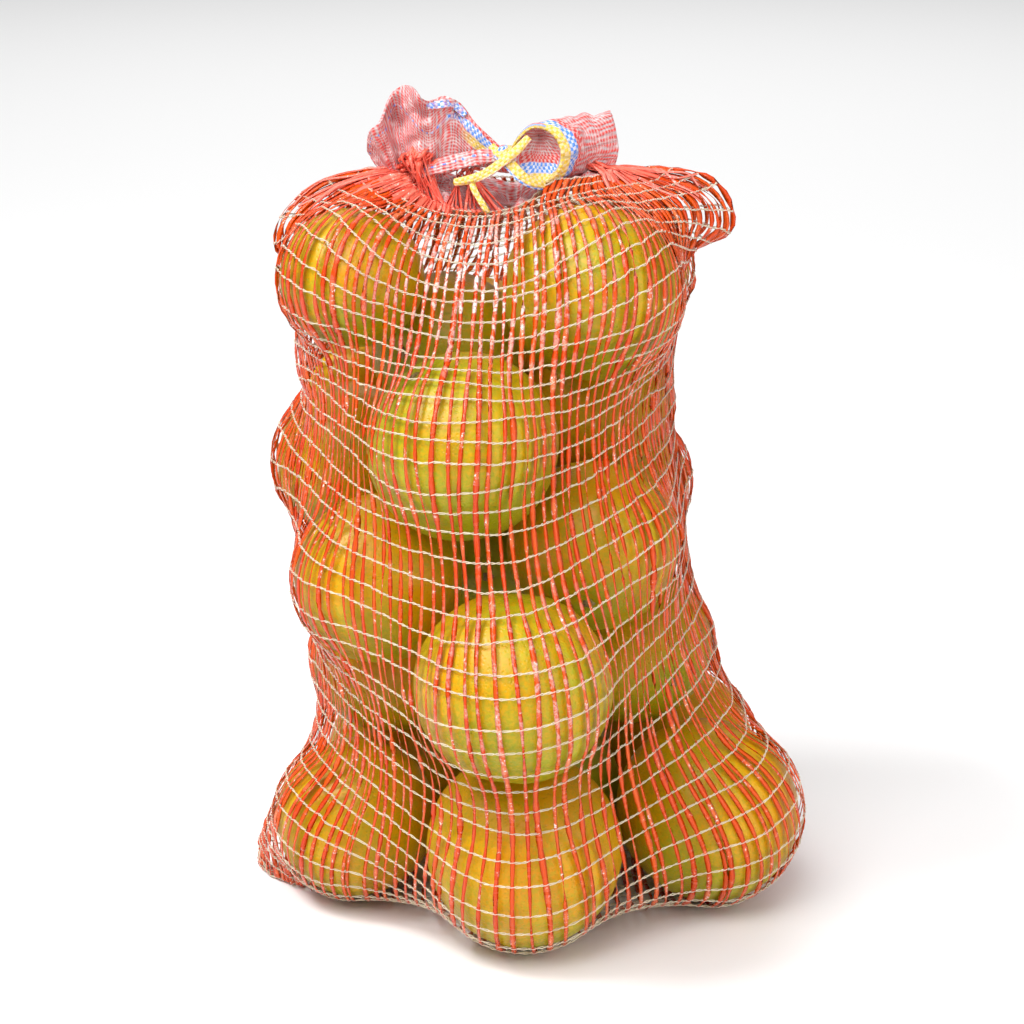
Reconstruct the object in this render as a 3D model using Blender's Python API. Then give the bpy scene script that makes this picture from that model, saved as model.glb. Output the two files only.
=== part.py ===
"""Net of oranges: a tube net, tied at its mouth, stretched over a standing heap of oranges.

The filled net is one closed solid. Its surface is the tube of netting itself: rings of weft
threads run round it and warp tapes run from the seam under the bag up to the mouth. The tube is
drawn tight over the fruit ring by ring until it lies still. The mouth's two ends stand up as ears
and are tied to each other over the sagging middle.

Lengths in the tables are millimetres. The model itself is in metres, +Z up, and stands on z = 0
with the middle of its outline over the origin.
"""
import math

import bmesh
import bpy
import numpy as np

MM = 0.001

# The fruit, in mm: x, y, z of the middle, radius. The first fifteen show, the others fill the back.
FRUIT = [
    (-24, -49, 203, 37.5),
    (-5, -77, 116, 38.5),
    (-1, -55, 41, 39.5),
    (-58, -27, 144, 34),
    (26, -23, 156, 34.5),
    (74, -11, 40, 38.5),
    (-70, -6, 35, 33.5),
    (25, -17, 256, 35.5),
    (-67, -18, 262, 28.5),
    (-31, 17, 226, 32),
    (27, 30, 201, 32.5),
    (-71, 30, 177, 32.5),
    (-56, 20, 96, 33),
    (44, 15, 102, 33),
    (37, 77, 155, 33),
    (-51, 61, 37, 36),
    (63, 65, 38, 37),
    (6, 19, 36, 35),
    (7, 71, 85, 36),
    (-39, 79, 141, 36),
    (-21, 80, 209, 34),
    (37, 76, 247, 32),
    (-15, 22, 140, 28),
    (-79, 72, 209, 22),
]
NET_THICKNESS = 1.0

# Empty corners that stiff netting holds out beyond the fruit, as tapering round pouches:
# each stop is x, y, z, radius.
SEAM_POUCH_LEFT = [(-83, 3, 28, 24), (-106, 21, 12, 7)]
SEAM_POUCH_RIGHT = [(85, 31, 30, 26), (104, 51, 12, 7)]
SHOULDER_POUCH_LEFT = [(-59, 7, 288, 10), (-75, 5, 286, 9), (-86, 2, 280, 9), (-87, -2, 272, 9)]
SIDE_BRIDGE_LEFT = [(-79, -1, 234, 12), (-79, -1, 224, 12)]
SHOULDER_POUCH_RIGHT = [(47, 5, 274, 16), (63, 15, 286, 9), (71, 17, 278, 9)]
POUCHES = [
    SEAM_POUCH_LEFT,
    SEAM_POUCH_RIGHT,
    SHOULDER_POUCH_LEFT,
    SIDE_BRIDGE_LEFT,
    SHOULDER_POUCH_RIGHT,
]

# The creases at the tube's two sides, where they are held: share of the way up, then x, y, z.
LEFT_SIDE = 0.0
RIGHT_SIDE = 0.5
SEAM_CREASE_LEFT = [(0, (-114, 23, 4)), (0.03, (-113, 21, 9)), (0.07, (-112, 18, 16))]
SEAM_CREASE_RIGHT = [(0, (110, 53, 4)), (0.03, (110, 50, 9)), (0.07, (109, 46, 16))]
SHOULDER_CREASE_LEFT = [
    (0.84, (-98, -7, 271)),
    (0.865, (-96, -3, 282)),
    (0.89, (-88, 1, 291)),
    (0.915, (-76, 5, 298)),
    (0.945, (-59, 9, 300)),
    (1, (-46, 13, 299)),
]
SHOULDER_CREASE_RIGHT = [
    (0.845, (73, 17, 264)),
    (0.87, (82, 17, 275)),
    (0.895, (81, 17, 285)),
    (0.92, (73, 17, 296)),
    (0.95, (59, 16, 299)),
    (1, (33, 13, 299)),
]
CREASES = [
    (LEFT_SIDE, SEAM_CREASE_LEFT),
    (RIGHT_SIDE, SEAM_CREASE_RIGHT),
    (RIGHT_SIDE, SHOULDER_CREASE_RIGHT),
    (LEFT_SIDE, SHOULDER_CREASE_LEFT),
]
CREASE_REACH_ROUND = 0.05
CREASE_REACH_UP = 0.04
CREASE_SLACK = 0.85

# The mouth: a long loop whose two ends are pulled up and whose front and back sag.
MOUTH_CENTRE = (-6.5, 13, 299)
MOUTH_HALF_WIDTH = 39.5
MOUTH_HALF_DEPTH = 12.0
MOUTH_SAG_FRONT = 16.5
MOUTH_SAG_BACK = 5.0
MOUTH_RIGHT_LIFT = 0.88
MOUTH_LIFT_REACH = 0.5
MOUTH_BUNCHING = 1.6
MOUTH_FLOOR_DROP = 16.0

# The tube: how many warps and wefts the solid follows, and how far apart they can be pulled.
COARSE_GRID = (52, 24)
FINE_GRID = (92, 40)
TUBE_GIRTH = 740.0
TUBE_LENGTH = 515.0
COARSE_ROUNDS = 700
COARSE_LOOK = (3, 30)
FINE_ROUNDS = 320
FINE_LOOK = (15, 14)
PULL_ROUND = 0.5
PULL_UP = 0.08
SLACK_AT_SEAM = 0.12
SLACK_ROWS = 0.12
SEAM_ROW = 0.02
SETTLING_ROWS = 0.08
SETTLING = 0.3
START_HALF_WIDTH = 128.0
START_HALF_DEPTH = 135.0
START_HEIGHT = 300.0
LYING_SHARE = 0.25
NECK_SHARE = 0.8
RESTING_BAND = 1.6

# The left ear: its root and its free edge from the outer lobe to the knot, as x, z.
LEFT_EAR_ROOT = [
    (-51, 294),
    (-51, 294),
    (-50, 293),
    (-48, 292),
    (-46, 292),
    (-43, 292),
    (-38, 293),
    (-31, 298),
    (-20, 301),
    (-9, 299),
]
LEFT_EAR_EDGE = [
    (-57, 299),
    (-62, 306),
    (-60.5, 315.5),
    (-56.5, 319),
    (-52, 329),
    (-44, 332),
    (-38, 327),
    (-29, 327.5),
    (-19, 317),
    (-8, 307),
]
LEFT_EAR_MIDDLE_Y = 11.0
LEFT_EAR_FORWARD = 4.0
LEFT_EAR_WAVE = 6.0
LEFT_EAR_WAVES = 2.6
LEFT_EAR_WAVE_PHASE = 0.6
LEFT_EAR_CALM_START = 4.0
LEFT_EAR_CALM_END = 3.0
LEFT_EAR_THICKNESS = 3.0
LEFT_EAR_STEPS = (36, 9)

# The right ear, a rolled sleeve. Each ring: its middle, half width across the roll, half height,
# and the turn of its width in degrees.
RIGHT_EAR_SECTIONS = [
    ((3.8, 2, 306), 10.0, 11.0, 8),
    ((7.5, 7, 306.5), 11.0, 11.8, 28),
    ((14, 13, 307.5), 9.5, 11.5, 52),
    ((21, 16, 308), 6.5, 11.5, 70),
    ((28, 17, 309), 3.8, 11.0, 80),
    ((36, 17, 310.5), 1.6, 11.5, 88),
]
RIGHT_EAR_SIDES = 28
RIGHT_EAR_DISH_DEPTH = 6.0
RIGHT_EAR_DISH_SCALE = 0.5
RIGHT_EAR_RIM_SCALE = 0.82

KNOT_CENTRE = (-8, 7, 304)
KNOT_SIZE = (6.0, 5.5, 5.0)
KNOT_SEGMENTS = 16
KNOT_RINGS = 10

NET_COLOUR = (0.80, 0.22, 0.04, 1.0)
NET_ROUGHNESS = 0.45
SMOOTH_ANGLE = math.radians(50)


def clear_scene():
    for item in list(bpy.data.objects):
        bpy.data.objects.remove(item, do_unlink=True)


def net_material():
    material = bpy.data.materials.new("red_netting")
    material.use_nodes = True
    shader = material.node_tree.nodes["Principled BSDF"]
    shader.inputs["Base Color"].default_value = NET_COLOUR
    shader.inputs["Roughness"].default_value = NET_ROUGHNESS
    shader.inputs["Metallic"].default_value = 0.0
    material.diffuse_color = NET_COLOUR
    return material


def pouch_balls(stops):
    """Balls close enough together to make one smooth tapering pouch."""
    balls = []
    for first, last in zip(stops[:-1], stops[1:]):
        first = np.array(first, float)
        last = np.array(last, float)
        step = min(first[3], last[3]) * 0.5
        count = max(2, int(np.linalg.norm(last[:3] - first[:3]) / step))
        balls += [first + (last - first) * k / count for k in range(count + 1)]
    return balls


def all_balls():
    fruit = np.array(FRUIT, float)
    fruit[:, 3] += NET_THICKNESS
    pouches = [ball for stops in POUCHES for ball in pouch_balls(stops)]
    balls = np.vstack([fruit, np.array(pouches)])
    return balls[:, :3], balls[:, 3]


def mouth_loop(around):
    angle = 2 * math.pi * np.arange(around) / around
    along = np.tanh(MOUTH_BUNCHING * np.cos(angle)) / math.tanh(MOUTH_BUNCHING)
    across = np.sin(angle)
    x = MOUTH_CENTRE[0] - MOUTH_HALF_WIDTH * along
    y = MOUTH_CENTRE[1] - MOUTH_HALF_DEPTH * across
    rightward = np.clip(-along / MOUTH_LIFT_REACH, 0, 1)
    lift = MOUTH_RIGHT_LIFT * rightward * rightward * (3 - 2 * rightward)
    front = MOUTH_SAG_FRONT * (1 - lift)
    z = MOUTH_CENTRE[2] - np.where(across > 0, front, MOUTH_SAG_BACK) * across ** 2
    return np.stack([x, y, z], 1)


def loose_tube(around, up):
    """The empty tube before it is drawn tight: flat at the seam, narrow at the mouth."""
    angle = 2 * math.pi * np.arange(around) / around
    lying = LYING_SHARE * np.abs(np.sin(angle))
    net = np.zeros((up, around, 3))
    for row in range(up):
        share = row / (up - 1)
        open_part = min(share / LYING_SHARE, 1)
        half_width = START_HALF_WIDTH
        half_depth = MOUTH_HALF_DEPTH + (START_HALF_DEPTH - MOUTH_HALF_DEPTH) * open_part
        height = START_HEIGHT * np.clip((share - lying) / (NECK_SHARE - lying), 0, 1)
        if share > NECK_SHARE:
            closing = (share - NECK_SHARE) / (1 - NECK_SHARE)
            half_width += (MOUTH_HALF_WIDTH - START_HALF_WIDTH) * closing
            half_depth += (MOUTH_HALF_DEPTH - START_HALF_DEPTH) * closing
            height = START_HEIGHT
        net[row, :, 0] = -half_width * np.cos(angle)
        net[row, :, 1] = MOUTH_CENTRE[1] - half_depth * np.sin(angle)
        net[row, :, 2] = height
    return net


def limit_stretch(first, second, reach):
    """Pulls neighbours together where the thread between them is longer than its reach."""
    gap = second - first
    length = np.linalg.norm(gap, axis=-1, keepdims=True)
    move = gap * np.clip(1 - reach / np.maximum(length, 1e-6), 0, None) * 0.5
    first += move
    second -= move


def push_out(points, centres, radii, touching):
    for centre, radius, index in zip(centres, radii, touching):
        gap = points[index] - centre
        length = np.sqrt((gap * gap).sum(1))
        inside = length < radius
        if inside.any():
            points[index[inside]] = centre + gap[inside] * (radius / length[inside])[:, None]
    np.maximum(points[:, 2], 0, out=points[:, 2])


def crease_points(up, around):
    """The held points of the side creases on a grid of this size: row, column, place."""
    held = []
    for side, stops in CREASES:
        shares = [share for share, place in stops]
        places = np.array([place for share, place in stops], float)
        for row in range(up):
            share = row / (up - 1)
            if shares[0] <= share <= shares[-1]:
                place = [np.interp(share, shares, places[:, axis]) for axis in range(3)]
                held.append((row, round(side * around) % around, np.array(place)))
    return held


def ring_pull(up, around):
    """How hard each point of a ring is drawn in: little at the seam and near the creases."""
    share = np.arange(up)[:, None] / (up - 1)
    turn = np.arange(around)[None] / around
    tight = np.clip((share - SEAM_ROW) / SLACK_ROWS, 0, 1)
    pull = PULL_ROUND * (SLACK_AT_SEAM + (1 - SLACK_AT_SEAM) * tight * tight * (3 - 2 * tight)) + 0 * turn
    for side, stops in CREASES:
        beside = np.abs((turn - side + 0.5) % 1 - 0.5) / CREASE_REACH_ROUND
        below = np.clip(stops[0][0] - share, 0, None) / CREASE_REACH_UP
        above = np.clip(share - stops[-1][0], 0, None) / CREASE_REACH_UP
        pull = pull * (1 - CREASE_SLACK * np.exp(-(beside ** 2 + below ** 2 + above ** 2) / 2))
    return pull[..., None]


def draw_tight(net, rounds, centres, radii, look):
    """Draws the tube tight over the fruit: rings shrink, warps straighten, nothing passes a ball.

    look says every how many rounds the balls near each point are listed again, and how near.
    """
    look_again, look_reach = look
    up, around = net.shape[:2]
    girth_reach = TUBE_GIRTH / around
    length_reach = TUBE_LENGTH / up
    mirror = (-np.arange(around)) % around
    loop = mouth_loop(around)
    pull = ring_pull(up, around)
    held = crease_points(up, around)
    lowest = round(SETTLING_ROWS * up)
    points = net.reshape(-1, 3)
    for step in range(rounds):
        if step % look_again == 0:
            depth = np.linalg.norm(points[:, None] - centres[None], axis=2) - radii[None]
            touching = [np.nonzero(depth[:, k] < look_reach)[0] for k in range(len(radii))]
        beside = (np.roll(net, 1, 1) + np.roll(net, -1, 1)) / 2
        moved = net + pull * (beside - net)
        moved[1:-1] += PULL_UP * ((net[:-2] + net[2:]) / 2 - net[1:-1])
        moved[0] += PULL_UP * ((net[1] + net[1][mirror]) / 2 - net[0])
        moved[:lowest, :, 2] -= SETTLING
        net[:] = moved
        limit_stretch(net[0:-1:2], net[1::2], length_reach)
        limit_stretch(net[1:-1:2], net[2::2], length_reach)
        limit_stretch(net[:, 0::2], net[:, 1::2], girth_reach)
        turned = np.roll(net, -1, 1)
        limit_stretch(turned[:, 0::2], turned[:, 1::2], girth_reach)
        net[:] = np.roll(turned, 1, 1)
        net[0] = (net[0] + net[0][mirror]) / 2
        net[-1] = loop
        push_out(points, centres, radii, touching)
        push_out(points, centres, radii, touching)
        for row, col, place in held:
            net[row, col] = place
    return net


def finer(net, around, up):
    """The same tube read off on a finer grid."""
    level = np.linspace(0, net.shape[0] - 1, up)
    row = np.minimum(level.astype(int), net.shape[0] - 2)
    part = (level - row)[:, None, None]
    rows = net[row] * (1 - part) + net[row + 1] * part
    turn = np.arange(around) * net.shape[1] / around
    col = turn.astype(int)
    part = (turn - col)[None, :, None]
    return np.ascontiguousarray(rows[:, col] * (1 - part) + rows[:, (col + 1) % net.shape[1]] * part)


def tight_net():
    centres, radii = all_balls()
    net = draw_tight(loose_tube(*COARSE_GRID), COARSE_ROUNDS, centres, radii, COARSE_LOOK)
    net = draw_tight(finer(net, *FINE_GRID), FINE_ROUNDS, centres, radii, FINE_LOOK)
    net[..., 2] = np.where(net[..., 2] < RESTING_BAND, 0, net[..., 2])
    return net


def mesh_object(name, points, faces, material=None):
    mesh = bpy.data.meshes.new(name)
    mesh.from_pydata([tuple(MM * value for value in point) for point in points], [], faces)
    if material:
        mesh.materials.append(material)
    item = bpy.data.objects.new(name, mesh)
    bpy.context.scene.collection.objects.link(item)
    work = bmesh.new()
    work.from_mesh(mesh)
    bmesh.ops.triangulate(work, faces=work.faces[:])
    bmesh.ops.recalc_face_normals(work, faces=work.faces[:])
    work.to_mesh(mesh)
    work.free()
    return item


def net_body(material):
    """The tube as a closed surface: its seam is shut under the bag, its mouth by the tied netting."""
    net = tight_net()
    up, around = net.shape[:2]
    points = [tuple(point) for point in net[0, :around // 2 + 1]]

    def index(row, col):
        col %= around
        if row == 0:
            return min(col, around - col)
        return around // 2 + 1 + (row - 1) * around + col

    for row in range(1, up):
        points += [tuple(point) for point in net[row]]
    faces = []
    for row in range(up - 1):
        for col in range(around):
            corners = [index(row, col), index(row, col + 1), index(row + 1, col + 1), index(row + 1, col)]
            faces.append(corners)
    points.append((MOUTH_CENTRE[0], MOUTH_CENTRE[1], MOUTH_CENTRE[2] - MOUTH_FLOOR_DROP))
    for col in range(around):
        faces.append([index(up - 1, col), index(up - 1, col + 1), len(points) - 1])
    return mesh_object("net_of_oranges", points, faces, material)


def smooth_path(stops, share):
    """A point on a smooth curve through the stops, at a share of its length."""
    stops = np.array(stops, float)
    place = share * (len(stops) - 1)
    k = min(int(place), len(stops) - 2)
    part = place - k
    before = stops[max(k - 1, 0)]
    start = stops[k]
    end = stops[k + 1]
    after = stops[min(k + 2, len(stops) - 1)]
    bend = 2 * start + (end - before) * part
    bend += (2 * before - 5 * start + 4 * end - after) * part ** 2
    bend += (3 * start - before - 3 * end + after) * part ** 3
    return bend / 2


def left_ear():
    """A ruffled fan of doubled netting, from the gathered neck up to its free edge."""
    across, up = LEFT_EAR_STEPS
    front = []
    back = []
    for row in range(up + 1):
        rise = row / up
        for col in range(across + 1):
            share = col / across
            root = smooth_path(LEFT_EAR_ROOT, share)
            edge = smooth_path(LEFT_EAR_EDGE, share)
            x, z = root + (edge - root) * rise
            wave = math.sin(2 * math.pi * LEFT_EAR_WAVES * share + LEFT_EAR_WAVE_PHASE)
            fade = min(1, LEFT_EAR_CALM_START * share, LEFT_EAR_CALM_END * (1 - share))
            y = LEFT_EAR_MIDDLE_Y + LEFT_EAR_WAVE * wave * rise * fade - LEFT_EAR_FORWARD * share
            half = LEFT_EAR_THICKNESS / 2
            front.append((x, y - half, z))
            back.append((x, y + half, z))
    points = front + back
    size = len(front)
    width = across + 1
    faces = []
    for row in range(up):
        for col in range(across):
            a = row * width + col
            faces.append([a, a + 1, a + width + 1, a + width])
            faces.append([size + a, size + a + width, size + a + width + 1, size + a + 1])
    rim = list(range(width))
    rim += [row * width + across for row in range(1, up + 1)]
    rim += [up * width + col for col in range(across - 1, -1, -1)]
    rim += [row * width for row in range(up - 1, 0, -1)]
    for a, b in zip(rim, rim[1:] + rim[:1]):
        faces.append([a, a + size, b + size, b])
    return mesh_object("left_ear", points, faces)


def ear_ring(middle, half_width, half_height, turn, scale=1.0, shift=(0, 0, 0)):
    turn = math.radians(turn)
    ring = []
    for k in range(RIGHT_EAR_SIDES):
        angle = 2 * math.pi * k / RIGHT_EAR_SIDES
        side = half_width * scale * math.cos(angle)
        x = middle[0] + side * math.cos(turn) + shift[0]
        y = middle[1] - side * math.sin(turn) + shift[1]
        z = middle[2] + half_height * scale * math.sin(angle) + shift[2]
        ring.append((x, y, z))
    return ring


def right_ear():
    """A sleeve of netting rolled round its open end, which faces front, and flat at its tip."""
    inner = (0, RIGHT_EAR_DISH_DEPTH, 0)
    rings = [ear_ring(*RIGHT_EAR_SECTIONS[0], RIGHT_EAR_DISH_SCALE, inner)]
    rings.append(ear_ring(*RIGHT_EAR_SECTIONS[0], RIGHT_EAR_RIM_SCALE))
    rings += [ear_ring(*section) for section in RIGHT_EAR_SECTIONS]
    points = [point for ring in rings for point in ring]
    sides = RIGHT_EAR_SIDES
    faces = []
    for row in range(len(rings) - 1):
        for k in range(sides):
            a = row * sides + k
            b = row * sides + (k + 1) % sides
            faces.append([a, b, b + sides, a + sides])
    faces.append(list(range(sides))[::-1])
    faces.append(list(range(len(points) - sides, len(points))))
    return mesh_object("right_ear", points, faces)


def knot():
    """The lump where the two ears are tied."""
    points = []
    for ring in range(1, KNOT_RINGS):
        tilt = math.pi * ring / KNOT_RINGS
        for k in range(KNOT_SEGMENTS):
            turn = 2 * math.pi * k / KNOT_SEGMENTS
            x = KNOT_CENTRE[0] + KNOT_SIZE[0] * math.sin(tilt) * math.cos(turn)
            y = KNOT_CENTRE[1] + KNOT_SIZE[1] * math.sin(tilt) * math.sin(turn)
            z = KNOT_CENTRE[2] + KNOT_SIZE[2] * math.cos(tilt)
            points.append((x, y, z))
    faces = []
    for ring in range(KNOT_RINGS - 2):
        for k in range(KNOT_SEGMENTS):
            a = ring * KNOT_SEGMENTS + k
            b = ring * KNOT_SEGMENTS + (k + 1) % KNOT_SEGMENTS
            faces.append([a, a + KNOT_SEGMENTS, b + KNOT_SEGMENTS, b])
    faces.append(list(range(KNOT_SEGMENTS)))
    faces.append(list(range(len(points) - KNOT_SEGMENTS, len(points)))[::-1])
    return mesh_object("knot", points, faces)


def join_into(body, pieces):
    """One union of the body with the ears and the knot, applied, with the loose pieces removed."""
    group = bpy.data.collections.new("tied_mouth")
    bpy.context.scene.collection.children.link(group)
    for piece in pieces:
        bpy.context.scene.collection.objects.unlink(piece)
        group.objects.link(piece)
    union = body.modifiers.new("tied_mouth", "BOOLEAN")
    union.operation = "UNION"
    union.operand_type = "COLLECTION"
    union.collection = group
    union.solver = "MANIFOLD"
    bpy.context.view_layer.update()
    graph = bpy.context.evaluated_depsgraph_get()
    joined = bpy.data.meshes.new_from_object(body.evaluated_get(graph))
    body.modifiers.clear()
    body.data = joined
    for piece in pieces:
        bpy.data.objects.remove(piece, do_unlink=True)
    bpy.data.collections.remove(group)


def build():
    clear_scene()
    body = net_body(net_material())
    join_into(body, [left_ear(), right_ear(), knot()])
    body.data.shade_smooth()
    body.data.set_sharp_from_angle(angle=SMOOTH_ANGLE)


build()
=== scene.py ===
# A net of oranges, tied at its mouth: the fruit, the flat red tapes and cream cross threads drawn
# tight over it, the seam under it, and the two ears of netting at its top.
import math

import bmesh
import bpy
import numpy as np
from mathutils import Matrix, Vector, noise


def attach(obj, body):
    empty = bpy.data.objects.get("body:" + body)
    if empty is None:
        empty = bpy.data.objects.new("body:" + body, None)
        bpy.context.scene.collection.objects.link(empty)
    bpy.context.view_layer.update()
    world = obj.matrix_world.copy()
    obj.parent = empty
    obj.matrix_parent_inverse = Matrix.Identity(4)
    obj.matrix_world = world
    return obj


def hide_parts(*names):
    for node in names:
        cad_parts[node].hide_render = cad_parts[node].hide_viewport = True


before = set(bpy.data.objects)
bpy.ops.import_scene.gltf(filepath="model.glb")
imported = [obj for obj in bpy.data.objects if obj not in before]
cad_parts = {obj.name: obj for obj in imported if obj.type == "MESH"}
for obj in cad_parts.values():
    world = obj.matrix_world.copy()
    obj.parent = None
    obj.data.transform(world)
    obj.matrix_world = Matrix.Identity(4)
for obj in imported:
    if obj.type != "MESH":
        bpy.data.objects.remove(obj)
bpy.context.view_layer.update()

mm = 0.001
netNode = "net_of_oranges"

# The heap of fruit.
# x, y, z of each fruit's middle and its radius, in mm; the first fifteen are the ones seen.
fruitHeap = [
    (-24, -49, 203, 37.5), (-5, -77, 116, 38.5), (-1, -55, 41, 39.5), (-58, -27, 144, 34),
    (26, -23, 156, 34.5), (74, -11, 40, 38.5), (-70, -6, 35, 33.5), (25, -17, 256, 35.5),
    (-67, -18, 262, 28.5), (-31, 17, 226, 32), (27, 30, 201, 32.5), (-71, 30, 177, 32.5),
    (-56, 20, 96, 33), (44, 15, 102, 33), (37, 77, 155, 33),
    (-51, 61, 37, 36), (63, 65, 38, 37), (6, 19, 36, 35), (7, 71, 85, 36),
    (-39, 79, 141, 36), (-21, 80, 209, 34), (37, 76, 247, 32), (-15, 22, 140, 28), (-71, 72, 199, 22),
]

# Empty corners that the stiff netting holds out beyond the fruit: tapering round pouches, in mm.
pouches = [
    [(-83, 3, 28, 24), (-106, 21, 12, 7)],
    [(85, 31, 30, 26), (104, 51, 12, 7)],
    [(-59, 7, 288, 10), (-75, 5, 286, 9), (-86, 2, 280, 9), (-87, -2, 272, 9)],
    [(-79, -1, 234, 12), (-79, -1, 224, 12)],
    [(47, 5, 274, 16), (63, 15, 286, 9), (71, 17, 278, 9)],
]

# Creases held at the two sides of the tube: the side, then shares of the way up with their places.
creases = [
    (0.0, [(0, (-114, 23, 4)), (0.03, (-113, 21, 9)), (0.07, (-112, 18, 16))]),
    (0.5, [(0, (110, 53, 4)), (0.03, (110, 50, 9)), (0.07, (109, 46, 16))]),
    (0.5, [(0.845, (73, 17, 264)), (0.87, (82, 17, 275)), (0.895, (81, 17, 285)),
           (0.92, (73, 17, 296)), (0.95, (59, 16, 299)), (1, (33, 13, 299))]),
    (0.0, [(0.84, (-98, -7, 271)), (0.865, (-96, -3, 282)), (0.89, (-88, 1, 291)),
           (0.915, (-76, 5, 298)), (0.945, (-59, 9, 300)), (1, (-46, 13, 299))]),
]

# The tube of netting, in mm. Tapes are counted round it and cross threads up it.
tube = {
    "tapes": 116,
    "crossThreads": 46,
    "coarseGrid": (52, 24),
    "coarseRounds": 700,
    "fineRounds": 320,
    "girth": 740.0,
    "length": 515.0,
    "clearOfPeel": 1.0,
    "pullRound": 0.5,
    "pullUp": 0.08,
    "slackAtSeam": 0.12,
    "slackRows": 0.12,
    "seamRow": 0.02,
    "settlingRows": 0.08,
    "settling": 0.3,
    "creaseReachRound": 0.05,
    "creaseReachUp": 0.04,
    "creaseSlack": 0.85,
    "startHalfWidth": 128.0,
    "startHalfDepth": 135.0,
    "startHeight": 300.0,
    "lyingShare": 0.25,
    "neckShare": 0.8,
    # after how many rounds the fruit near each point is looked up again, and how near that is
    "coarseTouch": (3, 30),
    "fineTouch": (15, 14),
}

# The mouth: a long loop whose ends are pulled up and whose front and back sag, in mm.
mouth = {
    "centre": (-6.5, 13, 299),
    "halfWidth": 39.5,
    "halfDepth": 12.0,
    "sagFront": 16.5,
    "sagBack": 5.0,
    "rightLift": 0.88,
    "liftReach": 0.5,
    "bunching": 1.6,
}


def pouchBalls(stops):
    balls = []
    for first, last in zip(stops[:-1], stops[1:]):
        first = np.array(first, float)
        last = np.array(last, float)
        step = min(first[3], last[3]) * 0.5
        count = max(2, int(np.linalg.norm(last[:3] - first[:3]) / step))
        balls += [first + (last - first) * k / count for k in range(count + 1)]
    return balls


def netFormers():
    # every ball the netting is drawn over: fruit, a thread's thickness larger, and pouches
    fruit = np.array(fruitHeap, float)
    fruit[:, 3] += tube["clearOfPeel"]
    balls = np.vstack([fruit] + [np.array(pouchBalls(stops)) for stops in pouches])
    return balls[:, :3], balls[:, 3]


def mouthLoop(around):
    angle = 2 * math.pi * np.arange(around) / around
    along = np.tanh(mouth["bunching"] * np.cos(angle)) / math.tanh(mouth["bunching"])
    across = np.sin(angle)
    cx, cy, cz = mouth["centre"]
    rightward = np.clip(-along / mouth["liftReach"], 0, 1)
    lift = mouth["rightLift"] * rightward * rightward * (3 - 2 * rightward)
    sag = np.where(across > 0, mouth["sagFront"] * (1 - lift), mouth["sagBack"])
    x = cx - mouth["halfWidth"] * along
    y = cy - mouth["halfDepth"] * across
    return np.stack([x, y, cz - sag * across ** 2], 1)


def looseTube(around, up):
    # the empty tube: flat at its seam, wide, and narrow at its mouth
    angle = 2 * math.pi * np.arange(around) / around
    lying = tube["lyingShare"] * np.abs(np.sin(angle))
    net = np.zeros((up, around, 3))
    for row in range(up):
        share = row / (up - 1)
        openPart = min(share / tube["lyingShare"], 1)
        halfWidth = tube["startHalfWidth"]
        halfDepth = mouth["halfDepth"] + (tube["startHalfDepth"] - mouth["halfDepth"]) * openPart
        height = tube["startHeight"] * np.clip((share - lying) / (tube["neckShare"] - lying), 0, 1)
        if share > tube["neckShare"]:
            closing = (share - tube["neckShare"]) / (1 - tube["neckShare"])
            halfWidth += (mouth["halfWidth"] - halfWidth) * closing
            halfDepth += (mouth["halfDepth"] - halfDepth) * closing
            height = tube["startHeight"]
        net[row, :, 0] = -halfWidth * np.cos(angle)
        net[row, :, 1] = mouth["centre"][1] - halfDepth * np.sin(angle)
        net[row, :, 2] = height
    return net


def limitStretch(first, second, reach):
    gap = second - first
    length = np.linalg.norm(gap, axis=-1, keepdims=True)
    move = gap * np.clip(1 - reach / np.maximum(length, 1e-6), 0, None) * 0.5
    first += move
    second -= move


def pushOut(points, centres, radii, touching):
    for centre, radius, index in zip(centres, radii, touching):
        gap = points[index] - centre
        length = np.sqrt((gap * gap).sum(1))
        inside = length < radius
        if inside.any():
            points[index[inside]] = centre + gap[inside] * (radius / length[inside])[:, None]
    np.maximum(points[:, 2], 0, out=points[:, 2])


def heldPoints(up, around):
    held = []
    for side, stops in creases:
        shares = [share for share, place in stops]
        places = np.array([place for share, place in stops], float)
        for row in range(up):
            share = row / (up - 1)
            if shares[0] <= share <= shares[-1]:
                place = [np.interp(share, shares, places[:, axis]) for axis in range(3)]
                held.append((row, round(side * around) % around, np.array(place)))
    return held


def ringPull(up, around):
    # how hard each point of a ring is drawn in: little at the seam and beside the creases
    share = np.arange(up)[:, None] / (up - 1)
    turn = np.arange(around)[None] / around
    tight = np.clip((share - tube["seamRow"]) / tube["slackRows"], 0, 1)
    easing = tight * tight * (3 - 2 * tight)
    pull = tube["pullRound"] * (tube["slackAtSeam"] + (1 - tube["slackAtSeam"]) * easing) + 0 * turn
    for side, stops in creases:
        beside = np.abs((turn - side + 0.5) % 1 - 0.5) / tube["creaseReachRound"]
        below = np.clip(stops[0][0] - share, 0, None) / tube["creaseReachUp"]
        above = np.clip(share - stops[-1][0], 0, None) / tube["creaseReachUp"]
        pull = pull * (1 - tube["creaseSlack"] * np.exp(-(beside ** 2 + below ** 2 + above ** 2) / 2))
    return pull[..., None]


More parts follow.
